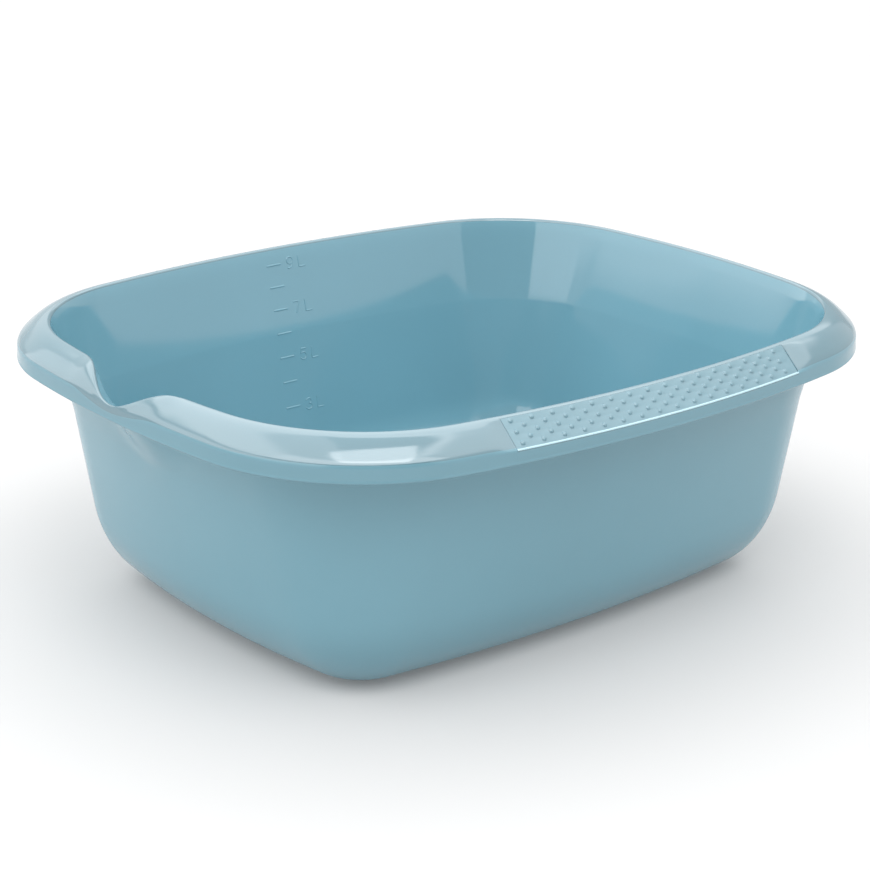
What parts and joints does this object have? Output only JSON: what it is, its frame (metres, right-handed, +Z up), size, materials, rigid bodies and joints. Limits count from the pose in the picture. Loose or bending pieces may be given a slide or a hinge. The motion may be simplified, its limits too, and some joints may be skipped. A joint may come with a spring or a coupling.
{
  "type": "rectangular bowl",
  "caption": "Deep rectangular washing-up bowl with bowed sides, a turned-down rim, a pouring spout in a short side, nubbed grips on the long sides and a moulded litre scale.",
  "frame": {"origin": "centre of the foot ring, in the plane that the bowl stands on", "axes": "+X along the long side, away from the pouring spout, which is at the -X end; +Y across the bowl, from the front grip to the rear grip; +Z up"},
  "size_m": [0.388, 0.3156, 0.1371],
  "materials": {
    "bowl": "satin-glossy moulded polypropylene, grey-blue",
    "grip": "duller moulded grip strip in the same grey-blue"
  },
  "bodies": {
    "root": {"bowl_body": "bowl", "grip_pad_front": "grip", "grip_pad_rear": "grip"}
  },
  "joints": []
}
